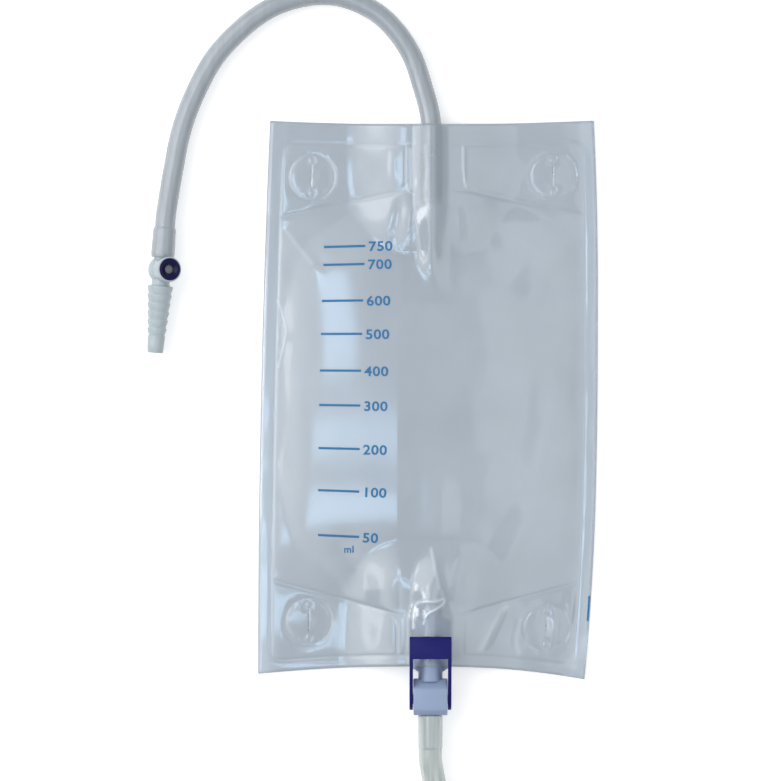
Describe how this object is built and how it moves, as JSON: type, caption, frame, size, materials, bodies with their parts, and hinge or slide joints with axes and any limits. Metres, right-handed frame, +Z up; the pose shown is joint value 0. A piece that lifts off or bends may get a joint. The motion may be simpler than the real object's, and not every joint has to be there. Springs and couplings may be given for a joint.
{
  "type": "urine drainage leg bag",
  "caption": "Flat welded drainage pouch with strap eyelets, an inlet tube to a barbed catheter connector with a sampling port, and a lever tap with an outlet tube.",
  "frame": {"origin": "on the table, under the middle of the pouch and its tap, measured without the hoses and the connector", "axes": "+Z up from the table through the printed side, +Y along the pouch towards the inlet end, +X to the right of the printed side"},
  "size_m": [0.1937, 0.3927, 0.0165],
  "materials": {
    "front_film": "satin translucent PVC film, embossed by the welds, with printed graduations",
    "back_film": "satin translucent PVC film",
    "valve_film": "thin clear film",
    "soft_tube": "soft translucent PVC tube, glossy",
    "white_plastic": "satin moulded plastic",
    "dark_ring": "glossy dark violet moulded plastic",
    "grey_rubber": "matt rubber",
    "tap_plastic": "satin pale blue translucent moulded plastic",
    "barrel_plastic": "satin moulded plastic",
    "blue_plastic": "glossy blue moulded plastic"
  },
  "bodies": {
    "bag": {"front_film": "front_film", "back_film": "back_film", "valve_flap_front": "valve_film", "valve_flap_back": "valve_film", "inlet_tube": "soft_tube", "inlet_cuff": "soft_tube", "connector_body": "white_plastic", "port_ring": "dark_ring", "port_septum": "grey_rubber", "tap_body": "tap_plastic", "outlet_tube": "soft_tube", "outlet_cuff": "soft_tube"},
    "lever": {"tap_lever": "blue_plastic", "tap_plug": "barrel_plastic"}
  },
  "joints": [
    {"name": "tap_turn", "type": "hinge", "parent": "bag", "child": "lever", "pos_m": [0.001, -0.1135, 0.0066], "axis": [1, 0, 0], "range_deg": [0, 130]}
  ]
}
